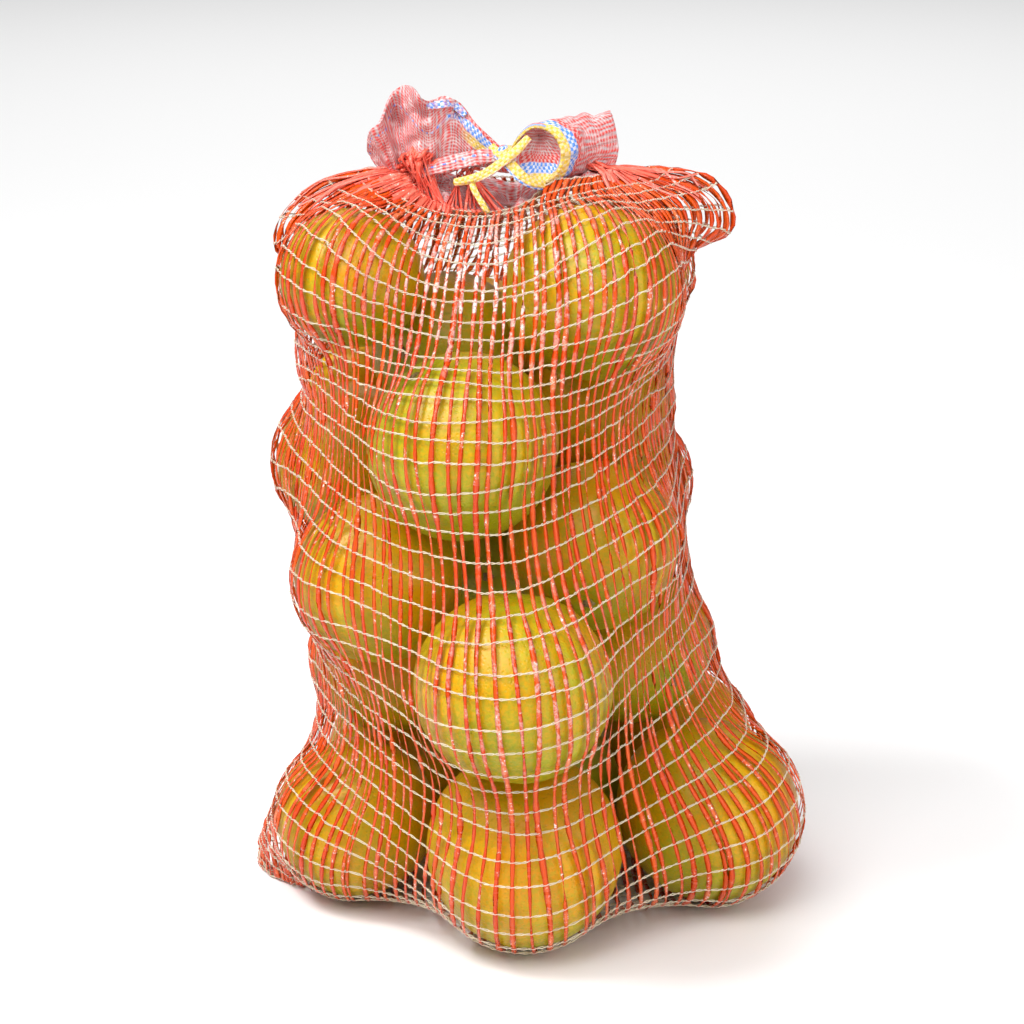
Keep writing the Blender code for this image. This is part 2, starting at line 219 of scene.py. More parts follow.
def drawTight(net, rounds, lookAgain, lookReach):
    # rings shrink, tapes straighten, nothing stretches too far or passes a fruit
    centres, radii = netFormers()
    up, around = net.shape[:2]
    girthReach = tube["girth"] / around
    lengthReach = tube["length"] / up
    mirror = (-np.arange(around)) % around
    loop = mouthLoop(around)
    pull = ringPull(up, around)
    held = heldPoints(up, around)
    lowest = round(tube["settlingRows"] * up)
    points = net.reshape(-1, 3)
    for step in range(rounds):
        if step % lookAgain == 0:
            depth = np.linalg.norm(points[:, None] - centres[None], axis=2) - radii[None]
            touching = [np.nonzero(depth[:, k] < lookReach)[0] for k in range(len(radii))]
        beside = (np.roll(net, 1, 1) + np.roll(net, -1, 1)) / 2
        moved = net + pull * (beside - net)
        moved[1:-1] += tube["pullUp"] * ((net[:-2] + net[2:]) / 2 - net[1:-1])
        moved[0] += tube["pullUp"] * ((net[1] + net[1][mirror]) / 2 - net[0])
        moved[:lowest, :, 2] -= tube["settling"]
        net[:] = moved
        limitStretch(net[0:-1:2], net[1::2], lengthReach)
        limitStretch(net[1:-1:2], net[2::2], lengthReach)
        limitStretch(net[:, 0::2], net[:, 1::2], girthReach)
        turned = np.roll(net, -1, 1)
        limitStretch(turned[:, 0::2], turned[:, 1::2], girthReach)
        net[:] = np.roll(turned, 1, 1)
        net[0] = (net[0] + net[0][mirror]) / 2
        net[-1] = loop
        pushOut(points, centres, radii, touching)
        pushOut(points, centres, radii, touching)
        for row, col, place in held:
            net[row, col] = place
    return net


def finerNet(net, around, up):
    level = np.linspace(0, net.shape[0] - 1, up)
    row = np.minimum(level.astype(int), net.shape[0] - 2)
    part = (level - row)[:, None, None]
    rows = net[row] * (1 - part) + net[row + 1] * part
    turn = np.arange(around) * net.shape[1] / around
    col = turn.astype(int)
    part = (turn - col)[None, :, None]
    return np.ascontiguousarray(rows[:, col] * (1 - part) + rows[:, (col + 1) % net.shape[1]] * part)


net = drawTight(looseTube(*tube["coarseGrid"]), tube["coarseRounds"], *tube["coarseTouch"])
net = finerNet(net, tube["tapes"], tube["crossThreads"])
net = drawTight(net, tube["fineRounds"], *tube["fineTouch"])
topLevel = tube["crossThreads"] - 1
print("net drawn tight over the fruit")


def unit(vectors):
    return vectors / np.maximum(np.linalg.norm(vectors, axis=-1, keepdims=True), 1e-9)


def runAlong(points):
    # how far along its path, or down its column of a grid, every point lies
    steps = np.linalg.norm(np.diff(points, axis=0), axis=-1)
    return np.concatenate([np.zeros((1,) + steps.shape[1:]), np.cumsum(steps, axis=0)])


def blendShares(part):
    # weights of four neighbours for a smooth curve through them
    return [
        (-part + 2 * part ** 2 - part ** 3) / 2,
        (2 - 5 * part ** 2 + 3 * part ** 3) / 2,
        (part + 4 * part ** 2 - 3 * part ** 3) / 2,
        (-part ** 2 + part ** 3) / 2,
    ]


def onNet(level, turn):
    # places on the smooth net, at levels counted in cross threads and turns counted in tapes
    up, around = net.shape[:2]
    row = np.clip(np.floor(level).astype(int), 0, up - 2)
    col = np.floor(turn).astype(int)
    rowShares = blendShares(level - row)
    colShares = blendShares(turn - col)
    place = np.zeros(level.shape + (3,))
    for i in range(4):
        r = row + i - 1
        for k in range(4):
            c = col + k - 1
            c = np.where(r < 0, -c, c) % around
            share = rowShares[i] * colShares[k]
            place += share[..., None] * net[np.minimum(np.abs(r), up - 1), c]
    return place


def faceOf(level, turn):
    # the way the netting faces, outwards
    step = 0.25
    lowest = -0.2
    low = np.clip(level - step, lowest, topLevel)
    high = np.clip(level + step, 0, topLevel)
    upwards = onNet(high, turn) - onNet(low, turn)
    sideways = onNet(level, turn + step) - onNet(level, turn - step)
    return unit(np.cross(sideways, upwards))


def clearOfFruit(points, gap, floorGap=1.1):
    # moves thread points out of the fruit and off the floor, in mm
    flat = points.reshape(-1, 3)
    for x, y, z, radius in fruitHeap:
        centre = np.array([x, y, z], float)
        away = flat - centre
        length = np.linalg.norm(away, axis=1)
        inside = length < radius + gap
        flat[inside] = centre + away[inside] * ((radius + gap) / length[inside])[:, None]
    flat[:, 2] = np.maximum(flat[:, 2], floorGap)
    return points


def softNoise(rng, count, steps, spacing):
    # smooth random lines, one for each thread, with a new value every few steps
    knots = rng.normal(size=(count, int(steps / spacing) + 4))
    place = np.arange(steps) / spacing
    k = place.astype(int)
    shares = blendShares(place - k)
    return sum(shares[i][None] * knots[:, k + i] for i in range(4))


# Finishes.
def newFinish(name):
    material = bpy.data.materials.new(name)
    material.use_nodes = True
    return material, material.node_tree


def setFinish(tree, values):
    shader = tree.nodes["Principled BSDF"]
    feed(tree, [shader.inputs[name] for name in values], values.values())


def addNode(tree, kind, settings=None, **values):
    node = tree.nodes.new(kind)
    for key, value in (settings or {}).items():
        setattr(node, key, value)
    for key, value in values.items():
        node.inputs[key].default_value = value
    return node


def objectPlace(tree):
    return addNode(tree, "ShaderNodeTexCoord").outputs["Object"]


def attributeValue(tree, name):
    return addNode(tree, "ShaderNodeAttribute", {"attribute_name": name}).outputs["Fac"]


# Each of these adds its node to the tree that its first socket belongs to.
def noiseOn(place, scale, detail=2.0, roughness=0.5):
    node = addNode(place.id_data, "ShaderNodeTexNoise", Scale=scale, Detail=detail, Roughness=roughness)
    place.id_data.links.new(place, node.inputs["Vector"])
    return node.outputs["Fac"]


def rampOn(value, stops):
    node = addNode(value.id_data, "ShaderNodeValToRGB")
    ramp = node.color_ramp
    while len(ramp.elements) < len(stops):
        ramp.elements.new(0.5)
    for element, (place, colour) in zip(ramp.elements, stops):
        element.position = place
        element.color = (*colour, 1)
    value.id_data.links.new(value, node.inputs["Fac"])
    return node.outputs["Color"]


def feed(tree, sockets, values):
    # a value that is a socket is linked, and a number or a colour is set
    for socket, value in zip(sockets, values):
        if isinstance(value, bpy.types.NodeSocket):
            tree.links.new(value, socket)
        else:
            socket.default_value = (*value, 1) if isinstance(value, tuple) else value


def rangeOn(value, low, high, newLow=0.0, newHigh=1.0):
    node = addNode(value.id_data, "ShaderNodeMapRange")
    feed(value.id_data, node.inputs, (value, low, high, newLow, newHigh))
    return node.outputs["Result"]


def mathOn(operation, *values):
    tree = values[0].id_data
    node = addNode(tree, "ShaderNodeMath", {"operation": operation})
    feed(tree, node.inputs, values)
    return node.outputs["Value"]


def times(first, second):
    return mathOn("MULTIPLY", first, second)


def mixOn(factor, first, second):
    node = addNode(factor.id_data, "ShaderNodeMix", {"data_type": "RGBA"})
    sockets = (node.inputs["Factor"], node.inputs[6], node.inputs[7])
    feed(factor.id_data, sockets, (factor, first, second))
    return node.outputs[2]


def bumpOn(height, strength, distance, *under):
    node = addNode(height.id_data, "ShaderNodeBump", Strength=strength, Distance=distance)
    feed(height.id_data, (node.inputs["Height"], node.inputs["Normal"]), (height, *under))
    return node.outputs["Normal"]


peelLook = {
    "golden": (0.66, 0.365, 0.001),
    "deepOrange": (0.70, 0.255, 0.001),
    "olive": (0.25, 0.285, 0.002),
    "paleGreen": (0.44, 0.40, 0.012),
    "poreSpacing": 1.5 * mm,
    "poreDepth": 0.16 * mm,
    "roughness": 0.36,
    "gloss": 0.32,
}


def makePeel():
    look = peelLook
    material, tree = newFinish("orange_peel")
    place = objectPlace(tree)
    patches = noiseOn(place, 26.0, 3.0, 0.6)
    speckle = noiseOn(place, 520.0, 2.0, 0.65)
    # the tint carries the fruit's own green and also painted shade: its olive underside and the dark
    # hidden fruit
    tint = attributeValue(tree, "greenAndShadeTint")
    warm = attributeValue(tree, "warmth")
    base = mixOn(warm, look["golden"], look["deepOrange"])
    greenAndShadeAmount = mathOn("ADD", tint, rangeOn(patches, 0.35, 0.75, -0.2, 0.26))
    greenAndShadeAmount = mathOn("ADD", greenAndShadeAmount, rangeOn(speckle, 0.35, 0.65, -0.24, 0.24))
    greenAndShade = rangeOn(greenAndShadeAmount, 0.1, 0.95)
    greenColour = mixOn(rangeOn(patches, 0.3, 0.7), look["olive"], look["paleGreen"])
    colour = mixOn(greenAndShade, base, greenColour)
    pores = addNode(tree, "ShaderNodeTexVoronoi", Scale=1 / look["poreSpacing"], Randomness=0.85)
    tree.links.new(place, pores.inputs["Vector"])
    pit = rangeOn(pores.outputs["Distance"], 0.05, 0.45)
    colour = mixOn(rangeOn(pit, 0.0, 1.0, 0.22, 0.0), colour, look["olive"])
    relief = bumpOn(pit, 0.85, look["poreDepth"])
    rough = look["roughness"]
    setFinish(tree, {
        "Base Color": colour,
        "Normal": bumpOn(noiseOn(place, 150.0, 3.0), 0.35, 0.5 * mm, relief),
        "Roughness": rangeOn(speckle, 0.3, 0.7, rough - 0.06, rough + 0.08),
        "Specular IOR Level": look["gloss"],
    })
    return material


def makeStemBark():
    material, tree = newFinish("stem_bark")
    grain = noiseOn(objectPlace(tree), 900.0, 3.0, 0.6)
    colour = rampOn(grain, [(0.35, (0.13, 0.085, 0.03)), (0.65, (0.34, 0.27, 0.11))])
    setFinish(tree, {
        "Base Color": colour,
        "Normal": bumpOn(grain, 0.8, 0.4 * mm),
        "Roughness": rangeOn(grain, 0.3, 0.7, 0.65, 0.85),
    })
    return material


# Each film: its deep red, its bright red, the red of a whitened length, and of a pale patch.
filmLooks = {
    "red_tape_film": [
        (0.63, 0.042, 0.001), (0.71, 0.086, 0.002), (0.82, 0.30, 0.22), (0.84, 0.20, 0.06),
    ],
    # the gathered film is a lighter, pinker copy of the red tape film: partly painted light, lifting
    # the bunched tapes against the shade between them, and partly the pinker tapes of the shoulders
    "gathered_film_lit": [
        (0.92, 0.090, 0.050), (0.95, 0.150, 0.095), (0.94, 0.40, 0.34), (0.94, 0.30, 0.20),
    ],
}


def makeTapeFilm(name):
    deep, bright, whitened, palePatch = filmLooks[name]
    material, tree = newFinish(name)
    place = objectPlace(tree)
    tone = attributeValue(tree, "tone")
    steps = addNode(tree, "ShaderNodeCombineXYZ")
    tree.links.new(attributeValue(tree, "run"), steps.inputs["X"])
    tree.links.new(times(tone, 40.0), steps.inputs["Y"])
    patches = noiseOn(steps.outputs["Vector"], 90.0, 3.0, 0.7)
    flecks = noiseOn(place, 900.0, 2.0, 0.7)
    red = mixOn(rangeOn(tone, 0.0, 1.0), deep, bright)
    red = mixOn(rangeOn(tone, 1.0, 2.0), red, whitened)
    pink = mixOn(rangeOn(patches, 0.54, 0.72), red, palePatch)
    paleFlecks = rangeOn(flecks, 0.58, 0.66)
    white = times(paleFlecks, rangeOn(patches, 0.52, 0.62))
    # painted glint: near-white flecks where the tapes cross the lit upper front of the net, broken up
    # by noise
    glintBreakup = rangeOn(noiseOn(place, 230.0, 2.0), 0.46, 0.56)
    glinted = times(attributeValue(tree, "paintedGlint"), glintBreakup)
    glinted = times(glinted, rangeOn(flecks, 0.36, 0.52))
    white = mathOn("MAXIMUM", white, glinted)
    setFinish(tree, {
        "Base Color": mixOn(white, pink, (0.95, 0.82, 0.78)),
        "Normal": bumpOn(noiseOn(place, 800.0, 2.0, 0.6), 0.7, 0.4 * mm),
        "Roughness": rangeOn(patches, 0.3, 0.7, 0.16, 0.36),
        "Specular IOR Level": 0.38,
    })
    return material


def makeCreamThread():
    material, tree = newFinish("cream_thread")
    place = objectPlace(tree)
    patches = noiseOn(place, 120.0, 2.0)
    colour = rampOn(patches, [(0.3, (0.58, 0.50, 0.34)), (0.7, (0.72, 0.65, 0.50))])
    crossing = rangeOn(attributeValue(tree, "tone"), 0.0, 1.0, 0.0, 0.6)
    fibres = noiseOn(place, 2500.0, 2.0)
    setFinish(tree, {
        "Base Color": mixOn(crossing, colour, (0.84, 0.36, 0.30)),
        "Normal": bumpOn(fibres, 0.5, 0.1 * mm),
        "Roughness": rangeOn(fibres, 0.3, 0.7, 0.45, 0.65),
        "Sheen Weight": 0.2,
    })
    return material


wovenHem = {
    "yellow": (0.76, 0.53, 0.06),
    "blue": (0.10, 0.28, 0.80),
    "red": (0.70, 0.05, 0.04),
    "dot": (0.82, 0.80, 0.78),
    "pink": (0.64, 0.32, 0.32),
    "white": (0.74, 0.67, 0.67),
    "shadeGrey": (0.45, 0.42, 0.44),
    "yellowTo": 3.6,
    "blueTo": 7.6,
    "redTo": 10.8,
    "weavePitch": 1.25,
    "tapePitch": 2.3,
    "threadPitch": 1.25,
    "crumple": 2.2 * mm,
}
blueMiddle = (wovenHem["yellowTo"] + wovenHem["blueTo"]) / 2


def stripeOn(value, low, high, blur=0.25):
    # 1 between two places of a value, 0 outside them
    rising = rangeOn(value, low - blur, low + blur)
    falling = rangeOn(value, high - blur, high + blur, 1.0, 0.0)
    return times(rising, falling)


def linesOn(value, pitch, share, blur=0.12):
    # 1 on the lines of a ruled pattern, 0 between them
    part = mathOn("PINGPONG", value, pitch / 2)
    edge = pitch * (0.5 - share / 2)
    return rangeOn(part, edge - blur, edge + blur)


def makeWovenHem():
    look = wovenHem
    material, tree = newFinish("woven_hem")
    place = objectPlace(tree)
    drift = noiseOn(place, 160.0, 2.0)
    fromHem = attributeValue(tree, "fromHem")
    fromHem = mathOn("ADD", fromHem, rangeOn(drift, 0.3, 0.7, -0.5, 0.5))
    along = attributeValue(tree, "alongHem")
    along = mathOn("ADD", along, rangeOn(drift, 0.3, 0.7, -0.6, 0.6))
    shown = attributeValue(tree, "hemShown")
    blotches = noiseOn(place, 230.0, 3.0, 0.6)
    tapeLines = linesOn(along, look["tapePitch"], 0.5, 0.3)
    layerBehind = mathOn("ADD", times(along, 0.9), times(fromHem, 0.4))
    linesBehind = times(linesOn(layerBehind, look["tapePitch"] * 1.2, 0.4, 0.4), 0.5)
    threadLines = linesOn(fromHem, look["threadPitch"], 0.4, 0.2)
    # painted shade: grey blotches stand for the shade among the crumples of the netting
    ground = mixOn(rangeOn(blotches, 0.42, 0.60), look["pink"], look["shadeGrey"])
    ground = mixOn(rangeOn(blotches, 0.36, 0.50, 0.8, 0.0), ground, look["white"])
    ground = mixOn(linesBehind, ground, look["red"])
    tapeShare = times(tapeLines, rangeOn(blotches, 0.3, 0.5, 0.5, 1.0))
    ground = mixOn(tapeShare, ground, look["red"])
    threadShare = times(threadLines, rangeOn(blotches, 0.35, 0.6, 0.75, 0.3))
    ground = mixOn(threadShare, ground, look["white"])
    checks = addNode(tree, "ShaderNodeTexChecker", Scale=1 / look["weavePitch"],
                     Color1=(1, 1, 1, 1), Color2=(0, 0, 0, 1))
    cell = addNode(tree, "ShaderNodeCombineXYZ")
    tree.links.new(along, cell.inputs["X"])
    tree.links.new(fromHem, cell.inputs["Y"])
    tree.links.new(cell.outputs["Vector"], checks.inputs["Vector"])
    dots = times(checks.outputs["Fac"], 0.7)
    blue = mixOn(dots, look["blue"], look["dot"])
    red = mixOn(times(dots, 0.6), look["red"], look["dot"])
    yellow = mixOn(times(dots, 0.5), look["yellow"], look["dot"])
    fullyShown = rangeOn(shown, 0.6, 1.0)
    yellowBand = times(stripeOn(fromHem, -0.4, look["yellowTo"]), fullyShown)
    colour = mixOn(yellowBand, ground, yellow)
    blueLow = rangeOn(shown, 0.0, 1.0, 1.6, 0.0)
    fromBlue = mathOn("ABSOLUTE", mathOn("SUBTRACT", fromHem, blueMiddle))
    squeezed = mathOn("SUBTRACT", fromBlue, look["blueTo"] - blueMiddle)
    blueBand = rangeOn(mathOn("ADD", squeezed, blueLow), -0.25, 0.25, 1.0, 0.0)
    broken = mathOn("MAXIMUM", shown, linesOn(along, 4.2, 0.45))
    colour = mixOn(times(blueBand, broken), colour, blue)
    redBand = times(stripeOn(fromHem, look["blueTo"], look["redTo"]), fullyShown)
    weave = mathOn("ADD", threadLines, mathOn("ADD", tapeLines, checks.outputs["Fac"]))
    crumple = bumpOn(noiseOn(place, 130.0, 3.0, 0.6), 0.8, look["crumple"])
    setFinish(tree, {
        "Base Color": mixOn(redBand, colour, red),
        "Normal": bumpOn(weave, 0.6, 0.25 * mm, crumple),
        "Roughness": rangeOn(drift, 0.3, 0.7, 0.38, 0.55),
    })
    return material


peel = makePeel()
stemBark = makeStemBark()
tapeFilm = makeTapeFilm("red_tape_film")
gatheredLitFilm = makeTapeFilm("gathered_film_lit")
creamThread = makeCreamThread()
hemCloth = makeWovenHem()
print("finishes made")


# Swept threads.
def sweepTree(name, profile, material):
    # a node tree that sweeps a small section along every path of edges it is given
    tree = bpy.data.node_groups.new(name, "GeometryNodeTree")
    face = tree.interface
    face.new_socket("Geometry", in_out="INPUT", socket_type="NodeSocketGeometry")
    for label in ("Width", "Thickness", "Twist"):
        face.new_socket(label, in_out="INPUT", socket_type="NodeSocketFloat")
    face.new_socket("Geometry", in_out="OUTPUT", socket_type="NodeSocketGeometry")
    link = tree.links.new

    def pathValue(label, kind="FLOAT"):
        node = addNode(tree, "GeometryNodeInputNamedAttribute", {"data_type": kind}, Name=label)
        return node.outputs["Attribute"]

    given = addNode(tree, "NodeGroupInput").outputs
    paths = addNode(tree, "GeometryNodeMeshToCurve")
    link(given["Geometry"], paths.inputs["Mesh"])
    turn = addNode(tree, "ShaderNodeVectorRotate", {"rotation_type": "AXIS_ANGLE"})
    link(pathValue("faceOut", "FLOAT_VECTOR"), turn.inputs["Vector"])
    link(addNode(tree, "GeometryNodeInputTangent").outputs["Tangent"], turn.inputs["Axis"])
    link(times(pathValue("lean"), given["Twist"]), turn.inputs["Angle"])
    facing = addNode(tree, "GeometryNodeSetCurveNormal", {"mode": "FREE"})
    link(paths.outputs["Curve"], facing.inputs["Curve"])
    link(turn.outputs["Vector"], facing.inputs["Normal"])
    if profile == "tape":
        section = addNode(tree, "GeometryNodeCurvePrimitiveQuadrilateral", {"mode": "KITE"})
        half = times(given["Width"], 0.5)
        link(given["Thickness"], section.inputs["Width"])
        link(half, section.inputs["Bottom Height"])
        link(half, section.inputs["Top Height"])
    else:
        section = addNode(tree, "GeometryNodeCurvePrimitiveCircle", Resolution=4)
        link(times(given["Thickness"], 0.5), section.inputs["Radius"])
    sweep = addNode(tree, "GeometryNodeCurveToMesh", **{"Fill Caps": True})
    link(facing.outputs["Curve"], sweep.inputs["Curve"])
    link(section.outputs["Curve"], sweep.inputs["Profile Curve"])
    link(pathValue("wide"), sweep.inputs["Scale"])
    smooth = addNode(tree, "GeometryNodeSetShadeSmooth")
    link(sweep.outputs["Mesh"], smooth.inputs["Geometry"])
    whole = addNode(tree, "GeometryNodeRealizeInstances")
    painted = addNode(tree, "GeometryNodeSetMaterial", Material=material)
    result = addNode(tree, "NodeGroupOutput")
    for first, last in ((smooth, whole), (whole, painted), (painted, result)):
        link(first.outputs["Geometry"], last.inputs["Geometry"])
    return tree


def setInputs(modifier, values):
    for socket in modifier.node_group.interface.items_tree:
        if socket.item_type == "SOCKET" and socket.in_out == "INPUT" and socket.name in values:
            modifier[socket.identifier] = values[socket.name]


def plainMesh(item):
    # the evaluated result as the object's own mesh, with the modifier gone
    bpy.context.view_layer.update()
    graph = bpy.context.evaluated_depsgraph_get()
    result = bpy.data.meshes.new_from_object(item.evaluated_get(graph))
    item.modifiers.clear()
    item.data = result


def newMesh(name, points, edges, faces, columns):
    # columns holds a number or a direction for every point, by attribute name
    mesh = bpy.data.meshes.new(name)
    mesh.from_pydata(points, edges, faces)
    for key, values in columns.items():
        values = np.asarray(values, float)
        kind, field = ("FLOAT", "value") if values.ndim == 1 else ("FLOAT_VECTOR", "vector")
        mesh.attributes.new(key, kind, "POINT").data.foreach_set(field, values.ravel())
    return mesh


def linkNew(name, data):
    item = bpy.data.objects.new(name, data)
    bpy.context.scene.collection.objects.link(item)
    return item


def sweptPiece(name, profile, material, look, threads, closed=False):
    # threads is a list of dictionaries: points in mm, faceOut, wide, and lean, tone and paintedGlint if
    # any; paintedGlint is painted glint on the tapes
    points = []
    edges = []
    columns = {"faceOut": [], "wide": [], "lean": [], "tone": [], "paintedGlint": [], "run": []}
    start = 0
    for thread in threads:
        count = len(thread["points"])
        points.append(thread["points"] * mm)
        k = np.arange(count - 1) + start
        edges.append(np.stack([k, k + 1], 1))
        if closed:
            edges.append(np.array([[start + count - 1, start]]))
        columns["run"].append(runAlong(thread["points"]) * mm)
        columns["faceOut"].append(thread["faceOut"])
        for key in ("wide", "lean", "tone", "paintedGlint"):
            columns[key].append(np.broadcast_to(thread.get(key, 0.0), (count,)).astype(float))
        start += count
    columns = {key: np.concatenate(parts) for key, parts in columns.items()}
    item = linkNew(name, newMesh(name, np.concatenate(points), np.concatenate(edges), [], columns))
    modifier = item.modifiers.new("sweep", "NODES")
    modifier.node_group = sweepTree(name + "_sweep", profile, material)
    setInputs(modifier, {
        "Width": look.get("width", look["thickness"]),
        "Thickness": look["thickness"],
        "Twist": look.get("twist", 0.0),
    })
    plainMesh(item)
    print(name, len(item.data.polygons), "faces")
    finishPiece(item)


def finishPiece(item):
    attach(item, "root")
    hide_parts(netNode)


def builtPiece(name, points, faces, material, columns):
    mesh = newMesh(name, points, [], faces, columns)
    mesh.materials.append(material)
    work = bmesh.new()
    work.from_mesh(mesh)
    bmesh.ops.recalc_face_normals(work, faces=work.faces[:])
    work.to_mesh(mesh)
    work.free()
    mesh.shade_smooth()
    print(name, len(faces), "faces")
    finishPiece(linkNew(name, mesh))


# Tapes.
tapes = {
    "count": 136,
    "crowding": 0.2,
    "width": 2.05 * mm,
    "thickness": 0.3 * mm,
    "twist": 1.0,
    "stepsPerCell": 3,
    "wander": 0.16,
    "wanderCells": 5,
    "pinch": 0.24,
    "unevenWidth": 0.14,
    "widthLimits": (0.6, 1.35),
    "lean": 0.38,
    "flip": 0.9,
    "flipShare": 0.12,
    "flatAtCrossing": 0.7,
    "offPeel": 0.5,
    # where painted glints whiten the tapes, on the lit upper front of the net: share of a turn, level,
    # how far it reaches each way, how strong
    "paintedGlint": [(0.235, 36, 0.08, 4.0, 1.0), (0.26, 19.5, 0.06, 3.0, 0.4)],
    "seed": 7,
}
tapeRng = np.random.default_rng(tapes["seed"])
tapeSteps = topLevel * tapes["stepsPerCell"] + 1
tapeLevels = np.arange(tapeSteps) / tapes["stepsPerCell"]
tapeWander = tapes["wander"] * softNoise(
    tapeRng, tapes["count"], tapeSteps, tapes["wanderCells"] * tapes["stepsPerCell"])


def turnOf(cell):
    # where on the net a tape lies, counted in the net's own turns: crowded at the two sides
    share = np.asarray(cell, float) / tapes["count"]
    return tube["tapes"] * (share - tapes["crowding"] / (4 * np.pi) * np.sin(4 * np.pi * share))


def makeTapes():
    look = tapes
    count = look["count"]
    steps = look["stepsPerCell"]
    level = np.broadcast_to(tapeLevels, (count, tapeSteps))
    turn = turnOf(np.arange(count))[:, None] + tapeWander
    points = clearOfFruit(onNet(level, turn), look["offPeel"])
    face = faceOf(level, turn)
    atCrossing = np.cos(np.pi * tapeLevels) ** 2
    baseWidth = 1 + look["unevenWidth"] * tapeRng.normal(size=(count, 1))
    wide = baseWidth * (1 + look["unevenWidth"] * softNoise(tapeRng, count, tapeSteps, 2 * steps))
    wide = np.clip(wide, *look["widthLimits"]) * (1 - look["pinch"] * atCrossing ** 3)
    lean = look["lean"] * softNoise(tapeRng, count, tapeSteps, 1.5 * steps)
    flips = tapeRng.random((count, topLevel + 1)) < look["flipShare"]
    flipped = np.repeat(flips, steps, axis=1)[:, :tapeSteps]
    lean += look["flip"] * flipped * np.sin(np.pi * tapeLevels) ** 2
    lean *= 1 - look["flatAtCrossing"] * atCrossing ** 2
    tone = tapeRng.random(count)
    # painted glint, strongest where the light falls on the upper front of the net
    paintedGlint = np.zeros((count, tapeSteps))
    for middleTurn, middleLevel, turnReach, levelReach, strength in look["paintedGlint"]:
        aside = (turn / tube["tapes"] - middleTurn) / turnReach
        paintedGlint += strength * np.exp(-aside ** 2 - ((level - middleLevel) / levelReach) ** 2)
    columns = {
        "points": points, "faceOut": face, "wide": wide, "lean": lean, "tone": tone, "paintedGlint": paintedGlint,
    }
    threads = [{key: values[k] for key, values in columns.items()} for k in range(count)]
    sweptPiece("red_tapes", "tape", tapeFilm, look, threads)


# Cross threads.
crossThreads = {
    "thickness": 0.44 * mm,
    "stepsPerCell": 4,
    "apart": 0.3,
    "overTape": 0.38,
    "kink": 0.22,
    "wander": 0.10,
    "wanderCells": 9,
    "fadeCells": 3,
    "offPeel": 0.3,
    "seed": 19,
    # how far the rows hang down in front, in rows, at levels up the net
    "dip": [(0, 0.0), (8, 0.1), (18, 0.6), (26, 1.2), (31, 2.3), (35, 3.5),
            (39, 3.8), (41, 2.9), (43, 1.2), (44, 0.3), (45, 0.0)],
    "dipMiddle": 0.235,
    "dipReach": 0.2,
}


def makeCrossThreads():
    # two fine strands that cross between the tapes, one passing over each tape and one under it
    look = crossThreads
    rng = np.random.default_rng(look["seed"])
    count = tapes["count"]
    steps = look["stepsPerCell"]
    total = count * steps
    rings = np.arange(1, topLevel + 1)
    wander = look["wander"] * softNoise(rng, len(rings), total, look["wanderCells"] * steps)
    place = np.arange(total)
    fromMiddle = (place / total - look["dipMiddle"]) / look["dipReach"]
    dipShape = np.cos(np.pi / 2 * np.clip(fromMiddle, -1, 1)) ** 2
    dipLevels, dips = zip(*look["dip"])
    fade = np.minimum(1, np.minimum(place, total - place) / (look["fadeCells"] * steps))
    jumps = np.repeat(rng.normal(size=(len(rings), count)), steps, axis=1) * look["kink"]
    jumps = (np.roll(jumps, 1, 1) + jumps * 2 + np.roll(jumps, -1, 1)) / 4
    cell = place / steps
    nearest = np.round(cell).astype(int) % count
    overTape = look["overTape"] * np.cos(2 * math.pi * (cell % 1))[:, None]
    aside = look["apart"] * np.sin(2 * math.pi * (cell % 1))[:, None]
    crossing = np.cos(np.pi * cell) ** 6
    for name, side in (("cross_threads_over", 1), ("cross_threads_under", -1)):
        threads = []
        for index, ring in enumerate(rings):
            level = ring + wander[index] * fade - np.interp(ring, dipLevels, dips) * dipShape
            level = np.clip(level, 0, topLevel)
            step = np.round(level * tapes["stepsPerCell"]).astype(int)
            turn = turnOf(cell) + tapeWander[nearest, np.minimum(step, tapeSteps - 1)]
            points = onNet(level, turn)
            face = faceOf(level, turn)
            across = np.cross(face, unit(np.roll(points, -1, 0) - np.roll(points, 1, 0)))
            points = clearOfFruit(points, tapes["offPeel"]) + face * side * overTape
            points = points + across * (side * aside + jumps[index][:, None])
            points = clearOfFruit(points, look["offPeel"])
            threads.append({"points": points, "faceOut": face, "wide": 1.0, "tone": crossing})
        sweptPiece(name, "strand", creamThread, look, threads, closed=True)


makeTapes()
makeCrossThreads()
print("netting made")


# The tied mouth.
# The left ear: its root and its free edge from the outer lobe to the knot, as x, z in mm.
leftEar = {
    "root": [(-51, 294), (-51, 294), (-50, 293), (-48, 292), (-46, 292),
             (-43, 292), (-38, 293), (-31, 298), (-20, 301), (-9, 299)],
    "edge": [(-57, 299), (-62, 306), (-60.5, 315.5), (-56.5, 319), (-52, 329),
             (-44, 332), (-38, 327), (-29, 327.5), (-19, 317), (-8, 307)],
    "middleY": 11.0,
    "wave": 6.0,
    "waves": 2.6,
    "wavePhase": 0.6,
    "pleat": 0.9,
    "pleats": 11.0,
    "pleatLean": 2.0,
    "pleatFade": 0.6,
    "thickness": 0.9,
    "forward": 4.0,
    # folds in mm: how deep and how far apart
    "crumples": [(7.0, 8.0), (1.6, 3.6)],
    "crumpleAtRoot": 0.4,
    "endFades": (4, 3),
    "steps": (170, 44),
    # how far in from the edge the blue line lies, from the lobe to the knot
    "blueLine": [3, 2, 3, 4, 5, 13, 13, 7, 3.5, 3],
    "hemShown": [0, 0, 0, 0, 0, 0, 0, 0.35, 1, 1],
    # the blue piece of hem at its top edge
    "patchShares": (0.66, 0.84),
    "patchRise": 0.93,
    "patchForward": 1.2,
    "patchWidth": 3.6,
    "patchFromHem": 3.8,
    "patchShown": 0.6,
}

